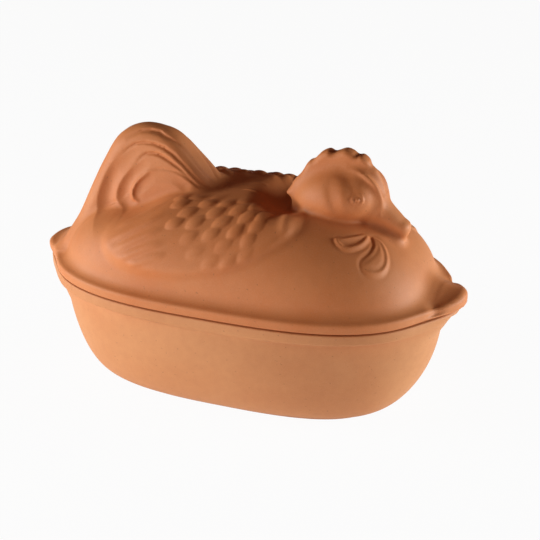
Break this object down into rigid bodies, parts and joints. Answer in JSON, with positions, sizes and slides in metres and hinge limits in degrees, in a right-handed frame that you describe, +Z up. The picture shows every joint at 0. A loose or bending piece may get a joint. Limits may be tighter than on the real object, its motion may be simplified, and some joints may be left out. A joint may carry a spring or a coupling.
{
  "type": "covered clay roasting dish",
  "caption": "Oval unglazed clay roasting dish with a matching lid modelled as a sitting hen, with a lug at each end.",
  "frame": {"origin": "centre of the dish's flat foot, on the surface it stands on", "axes": "+X along the dish towards the hen's head, +Y across the dish, +Z up"},
  "size_m": [0.37, 0.195, 0.2171],
  "materials": {
    "clay_dish": "unglazed terracotta, matt, fine speckle",
    "clay_lid": "unglazed terracotta, matt, fine speckle"
  },
  "bodies": {
    "dish": {"base_dish": "clay_dish"},
    "lid": {"lid": "clay_lid"}
  },
  "joints": [
    {"name": "lid_lift", "type": "slide", "parent": "dish", "child": "lid", "axis": [0, 0, 1], "range_m": [0, 0.16]}
  ]
}
